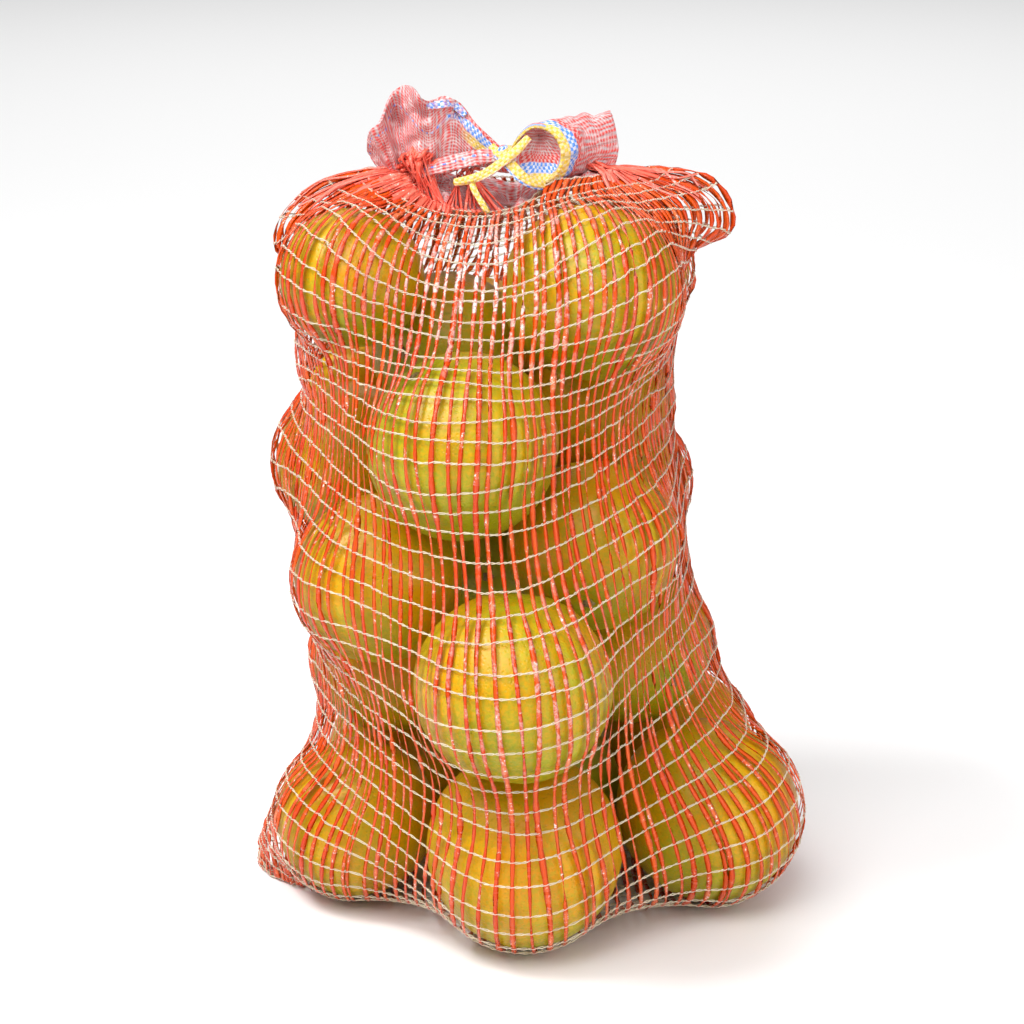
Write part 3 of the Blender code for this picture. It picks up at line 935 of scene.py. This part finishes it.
# The right ear, a rolled sleeve: middle, half width, half height and turn in degrees of its rings.
rightEar = {
    "rings": [
        (3.8, 2, 306, 10.0, 11.0, 8),
        (7.5, 7, 306.5, 11.0, 11.8, 28),
        (14, 13, 307.5, 9.5, 11.5, 52),
        (21, 16, 308, 6.5, 11.5, 70),
        (28, 17, 309, 3.8, 11.0, 80),
        (36, 17, 310.5, 0.55, 11.5, 88),
    ],
    "steps": (72, 96),
    "outerShare": 0.62,
    "thickness": 0.8,
    "corner": 0.35,
    "pucker": 0.05,
    "puckers": 9,
    "puckerTwist": 5,
    "crumple": 0.28,
    "crumpleSpacing": 0.55,
    "crumpleAlong": 4,
    "innerCentre": (1.0, 8.0, 6.8),
    "innerLeast": 0.04,
    "raggedTip": 0.07,
    "raggedLean": 0.3,
    "fineEdges": 4.0,
    "leftEdge": 1.9,
    "girth": 22 * math.pi,
}


def smoothPath(stops, shares):
    # places on a smooth curve through the stops, at shares of the way along it
    stops = np.array(stops, float)
    if stops.ndim == 1:
        stops = stops[:, None]
    place = np.clip(np.asarray(shares, float), 0, 1) * (len(stops) - 1)
    k = np.minimum(place.astype(int), len(stops) - 2)
    weights = blendShares(place - k)
    total = 0
    for step, weight in zip((-1, 0, 1, 2), weights):
        total = total + weight[..., None] * stops[np.clip(k + step, 0, len(stops) - 1)]
    return total


def crumpleAt(places, spacing):
    # uneven folds, the same at the same places, between about -0.5 and 0.5
    flat = [noise.noise(Vector(place) / spacing) for place in places.reshape(-1, places.shape[-1])]
    return np.array(flat).reshape(places.shape[:-1])


def leftEarPlace(share, rise):
    look = leftEar
    root = smoothPath(look["root"], share)
    edge = smoothPath(look["edge"], share)
    flat = root + (edge - root) * rise[..., None]
    first, last = look["endFades"]
    fade = np.minimum(1, np.minimum(first * share, last * (1 - share)))
    wave = np.sin(2 * np.pi * look["waves"] * share + look["wavePhase"]) * look["wave"]
    pleat = np.sin(2 * np.pi * look["pleats"] * share + look["pleatLean"] * rise) * look["pleat"]
    pleat = pleat * (1 - look["pleatFade"] * rise)
    y = look["middleY"] + (wave * rise + pleat) * fade - look["forward"] * share
    place = np.stack([flat[..., 0], y, flat[..., 1]], -1)
    free = look["crumpleAtRoot"] + (1 - look["crumpleAtRoot"]) * rise
    for amount, spacing in look["crumples"]:
        place[..., 1] += amount * fade * free * crumpleAt(place, spacing)
    return place


def shellPiece(name, grid, thickness, wrap, fromHem, alongHem, hemShown):
    # a closed thin shell of hem cloth about a grid of places; wrap joins its sides into a sleeve
    rows, cols = grid.shape[:2]
    size = rows * cols
    half = gridFace(grid, wrap) * thickness / 2
    points = np.concatenate([grid + half, grid - half]).reshape(-1, 3) * mm
    faces = []
    last = cols if wrap else cols - 1
    for row in range(rows - 1):
        for col in range(last):
            a = row * cols + col
            b = row * cols + (col + 1) % cols
            faces.append((a, b, b + cols, a + cols))
            faces.append((size + a, size + a + cols, size + b + cols, size + b))
    if wrap:
        high = [(rows - 1) * cols + col for col in range(cols)]
        rims = [list(range(cols)), high[::-1]]
    else:
        rim = list(range(cols))
        rim += [row * cols + cols - 1 for row in range(1, rows)]
        rim += [(rows - 1) * cols + col for col in range(cols - 2, -1, -1)]
        rim += [row * cols for row in range(rows - 2, 0, -1)]
        rims = [rim]
    for rim in rims:
        for a, b in zip(rim, rim[1:] + rim[:1]):
            faces.append((b, a, a + size, b + size))
    columns = {"fromHem": fromHem, "alongHem": alongHem, "hemShown": hemShown}
    for key, values in columns.items():
        columns[key] = np.tile(np.broadcast_to(values, (rows, cols)).ravel(), 2)
    builtPiece(name, points, faces, hemCloth, columns)


def gridFace(grid, wrap):
    if wrap:
        sideways = np.roll(grid, -1, 1) - np.roll(grid, 1, 1)
    else:
        sideways = np.gradient(grid, axis=1)
    return unit(np.cross(sideways, np.gradient(grid, axis=0)))


def makeLeftEar():
    look = leftEar
    across, up = look["steps"]
    share, rise = np.meshgrid(np.linspace(0, 1, across), np.linspace(0, 1, up))
    grid = leftEarPlace(share, rise)
    height = leftEarPlace(share, np.ones_like(rise)) - leftEarPlace(share, 0 * rise)
    inward = (1 - rise) * np.linalg.norm(height, axis=-1)
    fromHem = blueMiddle + smoothPath(look["blueLine"], share)[..., 0] - inward
    run = runAlong(leftEarPlace(share[-1], np.ones(across)))
    shown = np.clip(smoothPath(look["hemShown"], share)[..., 0], 0, 1)
    shellPiece("left_ear", grid, look["thickness"], False, fromHem, run, shown)


def rightEarPlace(around, along, scale=1.0):
    # around in turns of the sleeve, along from its open rim to its flat tip
    look = rightEar
    ring = smoothPath(look["rings"], along)
    angle = 2 * np.pi * around
    turn = np.radians(ring[..., 5])
    leftward = np.clip(-np.cos(angle), 0, 1) ** 2 * (1 - along) * look["corner"]
    waves = np.sin(look["puckers"] * angle + look["puckerTwist"] * along)
    bends = np.broadcast_arrays(np.cos(angle), np.sin(angle), look["crumpleAlong"] * along)
    crumple = crumpleAt(np.stack(bends, -1), look["crumpleSpacing"])
    pucker = 1 + look["pucker"] * along * waves + look["crumple"] * along * crumple
    side = ring[..., 3] * scale * np.cos(angle) * pucker
    rise = ring[..., 4] * scale * np.sin(angle) * (1 - leftward) * pucker
    return np.stack([
        ring[..., 0] + side * np.cos(turn),
        ring[..., 1] - side * np.sin(turn),
        ring[..., 2] + rise,
    ], -1)


def makeRightEar():
    # the sleeve's outer wall from the tip to the rim, then its inner wall back into the roll
    look = rightEar
    around, up = look["steps"]
    outerRows = int(up * look["outerShare"])
    innerRows = up - outerRows
    turns, alongs = np.meshgrid(np.arange(around) / around, np.linspace(1, 0, outerRows))
    ragged = np.abs(np.sin(2 * np.pi * turns) + look["raggedLean"])
    ragged = 1 - look["raggedTip"] * ragged * alongs
    outer = rightEarPlace(turns, alongs * ragged)
    deep = np.linspace(look["innerLeast"], 1, innerRows)
    turnsIn = np.broadcast_to(turns[0], (innerRows, around))
    narrowing = 1 - (1 - look["innerLeast"]) * deep[:, None]
    inner = rightEarPlace(turnsIn, np.zeros_like(turnsIn), narrowing)
    inner = inner + np.sqrt(deep)[:, None, None] * np.array(look["innerCentre"])
    turns = np.concatenate([turns, turnsIn])
    grid = np.concatenate([outer, inner])
    run = runAlong(grid)
    fromHem = np.abs(run - run[outerRows - 1])
    # inside the roll the bands run level, and fine along its left edge
    height = grid[outerRows:, :, 2] - grid[outerRows - 1, :, 2].min()
    fine = look["fineEdges"] - look["leftEdge"] * np.clip(-np.cos(2 * np.pi * turnsIn), 0, 1)
    fromHem[outerRows:] = np.minimum(height, fromHem[outerRows:] * fine)
    shellPiece("right_ear", grid, look["thickness"], True, fromHem, turns * look["girth"], 1.0)


# Straps of the woven hem at the knot: places on the way in mm, and how wide.
hemStraps = {
    "thickness": 0.8,
    # name, width, where across the hem it starts, how much of the hem's colours show, places
    "paths": [
        ("hem_strap_through", 4.6, -0.2, 1.0, [
            (-14, 6, 309), (-10, 3, 305.5), (-6, 0, 302.5),
            (-2, -1.5, 298.5), (2, -1, 296), (7, 1, 294.5),
        ]),
        ("hem_strap_left", 3.6, -0.6, 1.0, [
            (1, 3, 313), (-4, 1, 308), (-10, -1, 303.5),
            (-16, -1.5, 299.5), (-22, 0, 297), (-28, 3, 295.5),
        ]),
        ("hem_strap_end", 2.2, 1.0, 1.0, [
            (-22, 2, 298), (-20, -2, 293), (-17.5, -4, 289), (-15, -5, 285),
        ]),
        ("hem_fold", 6.0, 3.2, 0.0, [
            (-42, 6, 299), (-34, 4, 301.5), (-25, 3, 304), (-16, 3.5, 305.5), (-8, 5, 305),
        ]),
    ],
    "steps": (40, 11),
    "curl": 1.3,
    "curlWaves": 9,
    "taper": 0.28,
    "facing": (0.0, -0.94, 0.34),
}

knotLook = {
    "centre": (-8, 7, 304),
    "size": (6.0, 5.5, 5.0),
    "ripples": 0.12,
    "rippleCounts": (3, 4),
    # how the hem's bands run over it: how wide, from where, and how slanted
    "bands": (6, 2, 0.5),
    "thickness": 0.8,
    "poleHole": 0.06,
    "steps": (40, 24),
}


def addStrap(name, width, hemStart, shown, stops):
    look = hemStraps
    count, across = look["steps"]
    share = np.linspace(0, 1, count)
    middle = smoothPath(stops, share)
    along = unit(np.gradient(middle, axis=0))
    side = unit(np.cross(along, np.array(look["facing"])))
    offset = np.linspace(-0.5, 0.5, across)[:, None]
    taper = width * (1 - look["taper"] + look["taper"] * np.sin(np.pi * share))
    lift = look["curl"] * (0.25 - offset ** 2) * (1 + np.sin(look["curlWaves"] * share))
    grid = middle + side * (offset * taper)[..., None] + np.cross(side, along) * lift[..., None]
    fromHem = hemStart + (offset + 0.5) * width
    shellPiece(name, grid, look["thickness"], False, fromHem, runAlong(middle), shown)


def makeKnot():
    look = knotLook
    around, up = look["steps"]
    tilts = np.linspace(look["poleHole"], np.pi - look["poleHole"], up)
    angle, tilt = np.meshgrid(2 * np.pi * np.arange(around) / around, tilts)
    first, last = look["rippleCounts"]
    size = 1 + look["ripples"] * np.sin(first * angle + last * tilt) * np.sin(tilt)
    ball = np.stack([np.sin(tilt) * np.cos(angle), np.sin(tilt) * np.sin(angle), np.cos(tilt)], -1)
    grid = np.array(look["centre"]) + np.array(look["size"]) * size[..., None] * ball
    spread, start, slant = look["bands"]
    fromHem = spread * np.sin(tilt + slant * angle) + start
    shellPiece("knot", grid, look["thickness"], True, fromHem, angle * look["size"][0], 1.0)


# The netting that lies crumpled inside the mouth, from its rim down to the fruit.
mouthLining = {
    "drop": 15.0,
    "steps": (120, 16),
    "thickness": 0.7,
    "crumples": [(6.0, 7.0), (3.0, 3.0)],
    "edge": 0.04,
    "middle": 0.94,
    "hemStart": 9.0,
    "alongStep": 1.6,
    "overFruit": 1.5,
}


def makeMouthLining():
    look = mouthLining
    around, inward = look["steps"]
    rim = mouthLoop(around)
    middle = np.array(mouth["centre"], float) - (0, 0, look["drop"])
    share = np.linspace(look["edge"], look["middle"], inward)[:, None, None]
    grid = rim[None] + (middle - rim[None]) * share
    for amount, spacing in look["crumples"]:
        grid[..., 2] += amount * np.sin(np.pi * np.sqrt(share[..., 0])) * crumpleAt(grid, spacing)
    grid = clearOfFruit(grid, look["overFruit"])
    fromHem = look["hemStart"] + np.linalg.norm(grid - rim[None], axis=-1)
    along = np.arange(around) * look["alongStep"]
    shellPiece("mouth_lining", grid, look["thickness"], True, fromHem, along, 0.0)


# Bundles of tapes gathered at the two ends of the mouth, and the bands along the shoulders.
bundles = {
    "width": 1.9 * mm,
    "thickness": 0.35 * mm,
    "twist": 1.0,
    "steps": 22,
    "seed": 23,
    # source in mm, tape turns reached, how many, cross threads down, and the way they rise behind it
    "fans": [
        ((-42, 4.5, 305), (0, 21), 64, (1.2, 3.6), (3, 7, 1)),
        ((-49, 8, 301), (-6, 4), 16, (1.2, 3.0), (4, 6, 1)),
        ((27, 11, 300), (44, 62), 22, (1.0, 2.4), (-3, 6, 1)),
        ((-24, 6, 299), (20, 29), 12, (0.7, 1.6), (4, 3, 1)),
    ],
    # crease turn, spread, how many, levels down from the mouth
    "bands": [(0, 3.4, 26, 6.5), (58, 3.4, 24, 4.8)],
    "bandWidth": 0.7,
    "bandSpread": 0.6,
    "bandWander": 0.5,
    "bandLifts": (-0.4, 1.0),
    "bandTones": (0.7, 1.9),
    "fanLifts": (1.0, 1.2, 0.2),
    "fanTones": (0.6, 1.3),
    "sourceSpread": (2.2, 1.2, 1.4),
    "lift": 1.1,
    "lean": 0.5,
    # width of each against the next, and along its own length
    "unevenWidth": (0.2, 0.12),
    "widthLimits": (0.45, 1.4),
}


def makeBundles():
    look = bundles
    rng = np.random.default_rng(look["seed"])
    threads = []
    steps = look["steps"]
    share = np.linspace(0, 1, steps)

    def addThread(points, face, tone, scale):
        each, own = look["unevenWidth"]
        wide = scale * (0.9 + each * rng.normal() + own * softNoise(rng, 1, steps, 5)[0])
        lean = look["lean"] * softNoise(rng, 1, steps, 6)[0]
        threads.append({
            "points": clearOfFruit(points, tapes["offPeel"]), "faceOut": face,
            "wide": np.clip(wide, *look["widthLimits"]), "lean": lean, "tone": tone,
        })

    for source, reach, count, down, rising in look["fans"]:
        for k in range(count):
            turn = reach[0] + (reach[1] - reach[0]) * (k + rng.random()) / count
            depth = rng.uniform(*down)
            level = np.array([topLevel - 0.05, topLevel - 0.4 * depth, topLevel - depth])
            turns = np.array([turn, turn, turn])
            face = faceOf(level, turns)
            places = onNet(level, turns) + face * look["lift"] * np.array(look["fanLifts"])[:, None]
            start = np.array(source) + rng.normal(size=3) * look["sourceSpread"]
            points = smoothPath(np.vstack([start + np.array(rising), start, places]), share)
            faces = unit(smoothPath(np.vstack([face[:1], face[:1], face]), share))
            addThread(points, faces, rng.uniform(*look["fanTones"]), 1.0)
    for crease, spread, count, down in look["bands"]:
        for k in range(count):
            turn = crease + spread * rng.normal() * look["bandSpread"]
            turn = turn + look["bandWander"] * softNoise(rng, 1, steps, 8)[0]
            low = topLevel - down * rng.uniform(0.55, 1.0)
            level = topLevel + (low - topLevel) * share
            face = faceOf(level, turn)
            points = onNet(level, turn) + face * rng.uniform(*look["bandLifts"]) * look["lift"]
            addThread(points, face, rng.uniform(*look["bandTones"]), look["bandWidth"])
    sweptPiece("gathered_tapes", "tape", gatheredLitFilm, look, threads)


# Short lengths of cross thread where the rim of the mouth is caught together.
rimThreads = {
    "thickness": 0.5 * mm,
    "lift": 0.7,
    "arcs": [(3, 16, 0.35), (4, 17, 0.7), (5, 15, 1.35), (23, 34, 0.3), (24, 31, 0.6)],
    "perTape": 4,
    "wander": 0.08,
    "bob": 0.3,
    "seed": 31,
}


def makeRimThreads():
    look = rimThreads
    rng = np.random.default_rng(look["seed"])
    threads = []
    for first, last, down in look["arcs"]:
        count = (last - first) * look["perTape"]
        turn = np.linspace(first, last, count)
        level = topLevel - down + look["wander"] * softNoise(rng, 1, count, 6)[0]
        face = faceOf(level, turn)
        lift = look["lift"] + look["bob"] * np.cos(2 * np.pi * turn)[:, None]
        points = onNet(level, turn) + face * lift
        threads.append({"points": points, "faceOut": face, "wide": 1.0, "tone": 0.2})
    sweptPiece("rim_threads", "strand", creamThread, look, threads)


def makeHemPatch():
    look = leftEar
    share = np.linspace(*look["patchShares"], 5)
    stops = leftEarPlace(share, np.full(5, look["patchRise"])) - (0, look["patchForward"], 0)
    addStrap("hem_patch", look["patchWidth"], look["patchFromHem"], look["patchShown"], stops)


makeLeftEar()
makeRightEar()
makeHemPatch()
for strap in hemStraps["paths"]:
    addStrap(*strap)
makeKnot()
makeMouthLining()
makeBundles()
makeRimThreads()
print("tied mouth made")


# Oranges.
oranges = {
    "rings": 44,
    "sides": 80,
    "stemDimple": 1.6,
    "stemReach": 0.17,
    "blossomDimple": 0.5,
    "flatten": 0.035,
    "lumps": 0.5,
    "lumpPitch": 1.7,
    "ripples": 0.13,
    "ripplePitch": 7.0,
    "ribs": 0.35,
    "ribCount": 5,
    "poleBunching": 0.06,
    "underShadeGreen": 0.55,
    "patchGreen": 0.35,
    "stemGreen": 0.5,
    "stemGreenReach": 0.35,
    # warmth of the orange: its middle and how far it drifts
    "warmth": (0.35, 0.5),
    "seed": 5,
    # the ways stems point, for the fruit whose stem end shows
    "stems": {0: (-0.53, -0.12, 0.83), 7: (0.25, 0.55, 0.80),
              5: (0.7, 0.3, 0.65), 1: (0.1, 0.35, 0.93)},
    # how green each seen fruit is, and the hidden fruit 17 and 22 deep in the heap, made dark olive as
    # painted shade in the gaps between the fruit
    "greenAndShade": {0: 0.60, 1: 0.54, 2: 0.20, 3: 0.30, 4: 0.34, 5: 0.30, 6: 0.22, 7: 0.44,
              8: 0.40, 13: 0.36, 9: 0.6, 17: 0.9, 22: 1.0},
}


def makeOranges():
    look = oranges
    rng = np.random.default_rng(look["seed"])
    points = []
    faces = []
    tints = []
    warmths = []
    stemEnds = []
    rings, sides = look["rings"], look["sides"]
    shares = np.linspace(0, 1, rings + 1)
    tilts = math.pi * (shares - look["poleBunching"] * np.sin(2 * math.pi * shares))
    warm, drift = look["warmth"]
    for index, (x, y, z, radius) in enumerate(fruitHeap):
        stem = Vector(look["stems"].get(index, tuple(rng.normal(size=3)))).normalized()
        turn = stem.to_track_quat("Z", "Y")
        greenAndShade = look["greenAndShade"].get(index, 0.2)
        seed = Vector((index * 7.3, index * 3.1, index * 5.7))
        start = len(points)
        ribPhase = rng.random() * 6.28
        for ring, tilt in enumerate(tilts):
            sine = math.sin(tilt)
            nearStem = math.exp(-(tilt / (3 * look["stemReach"])) ** 2)
            dimple = look["stemDimple"] * math.exp(-(tilt / look["stemReach"]) ** 2)
            dimple += look["blossomDimple"] * math.exp(-((math.pi - tilt) / look["stemReach"]) ** 2)
            greenEnd = look["stemGreen"] * math.exp(-(tilt / look["stemGreenReach"]) ** 2)
            for k in range(sides if 0 < ring < rings else 1):
                angle = 2 * math.pi * k / sides
                way = Vector((sine * math.cos(angle), sine * math.sin(angle), math.cos(tilt)))
                size = radius - dimple - radius * look["flatten"] * way.z ** 2
                size -= look["lumps"] * (1 + noise.noise(way * look["lumpPitch"] + seed))
                size -= look["ripples"] * (1 + noise.noise(way * look["ripplePitch"] + seed))
                rib = 1 + math.cos(look["ribCount"] * angle + ribPhase)
                size -= look["ribs"] * nearStem * rib * sine
                place = turn @ (way * size)
                points.append(((x + place.x) * mm, (y + place.y) * mm, (z + place.z) * mm))
                facing = turn @ way
                # painted shade: each fruit's underside is tinted towards dark olive, as it looks in
                # shade
                under = look["underShadeGreen"] * max(0.0, -facing.z - 0.1 * facing.x + 0.1)
                patch = look["patchGreen"] * noise.noise(facing * 1.3 + seed)
                tints.append(greenAndShade + under + patch + greenEnd)
                warmths.append(warm + drift * noise.noise(facing * 1.1 - seed))
                if ring == 0:
                    stemEnds.append((Vector(points[-1]), turn))

        def at(ring, k):
            if ring == 0:
                return start
            if ring == rings:
                return len(points) - 1
            return start + 1 + (ring - 1) * sides + k % sides

        for ring in range(rings):
            for k in range(sides):
                corners = [at(ring, k), at(ring + 1, k), at(ring + 1, k + 1), at(ring, k + 1)]
                if ring == 0:
                    corners = corners[:3]
                elif ring == rings - 1:
                    corners = [corners[0], corners[1], corners[3]]
                faces.append(corners)
    builtPiece("oranges", points, faces, peel, {"greenAndShadeTint": tints, "warmth": warmths})
    return stemEnds


# The dry five-pointed scar where each stem was, as rings: share of its radius, height in mm.
stemScars = {
    "radius": 2.6,
    "rings": [(0.12, 0.5), (0.45, 0.75), (0.75, 0.55), (1.0, 0.0), (0.8, -0.8)],
    "points": 5,
    "pointed": 0.2,
    "sides": 20,
}


def makeStemScars(stemEnds):
    look = stemScars
    points = []
    faces = []
    sides = look["sides"]
    for place, turn in stemEnds:
        start = len(points)
        for share, height in look["rings"]:
            for k in range(sides):
                angle = 2 * math.pi * k / sides
                pointed = 1 + look["pointed"] * share * math.cos(look["points"] * angle)
                reach = look["radius"] * share * pointed
                local = Vector((reach * math.cos(angle), reach * math.sin(angle), height)) * mm
                points.append(tuple(place + turn @ local))
        for ring in range(len(look["rings"]) - 1):
            low = start + ring * sides
            for k in range(sides):
                n = (k + 1) % sides
                faces.append((low + k, low + sides + k, low + sides + n, low + n))
        last = start + (len(look["rings"]) - 1) * sides
        faces.append(tuple(start + k for k in range(sides)))
        faces.append(tuple(last + k for k in reversed(range(sides))))
    builtPiece("stem_scars", points, faces, stemBark, {})


makeStemScars(makeOranges())
print("oranges made")


# Floor, light and camera.
studio = {
    "floorSize": 9.0,
    "floorColour": (0.90, 0.90, 0.90),
    "worldStrength": 0.40,
    # name, place and size in m, and power in W; the last one lights the floor behind
    "lights": [
        ("key", (-0.42, -1.15, 1.6), 1.2, 26.0),
        ("top", (-0.90, -0.30, 1.50), 0.5, 20.0),
        ("fill", (1.3, -0.9, 0.7), 1.4, 11.0),
        ("floor_light", (0.0, 2.6, 2.2), 2.6, 40.0),
    ],
    "cameraTarget": (0.001, 0.011, 0.160),
    "cameraDistance": 1.15,
    "cameraRise": 16.0,
    "lens": 100.0,
    "rightShift": 17 / 1024,
}


def makeStudio():
    look = studio
    mesh = bpy.data.meshes.new("floor")
    half = look["floorSize"] / 2
    corners = [(-half, -half, 0), (half, -half, 0), (half, half, 0), (-half, half, 0)]
    mesh.from_pydata(corners, [], [(0, 1, 2, 3)])
    material, tree = newFinish("pale_floor")
    setFinish(tree, {"Base Color": look["floorColour"], "Roughness": 0.7})
    mesh.materials.append(material)
    linkNew("floor", mesh)
    world = bpy.data.worlds.new("studio")
    world.use_nodes = True
    sky = world.node_tree.nodes["Background"]
    sky.inputs["Color"].default_value = (1, 1, 1, 1)
    sky.inputs["Strength"].default_value = look["worldStrength"]
    bpy.context.scene.world = world
    bpy.context.scene.view_settings.view_transform = "Standard"
    for name, place, size, power in look["lights"]:
        light = bpy.data.lights.new(name, "AREA")
        light.energy = power
        light.size = size
        lamp = linkNew(name, light)
        lamp.location = place
        aim = Vector(look["cameraTarget"]) if name != "floor_light" else Vector((place[0], place[1], 0))
        lamp.rotation_euler = (aim - Vector(place)).to_track_quat("-Z", "Y").to_euler()
    rise = math.radians(look["cameraRise"])
    camera = linkNew("camera", bpy.data.cameras.new("camera"))
    camera.data.lens = look["lens"]
    camera.data.sensor_width = 36.0
    camera.data.shift_x = -look["rightShift"]
    camera.data.clip_start = 0.05
    camera.data.clip_end = 30.0
    back = Vector((0, -math.cos(rise), math.sin(rise)))
    camera.location = Vector(look["cameraTarget"]) + back * look["cameraDistance"]
    camera.rotation_euler = (-back).to_track_quat("-Z", "Y").to_euler()
    bpy.context.scene.camera = camera


makeStudio()
print("studio ready")
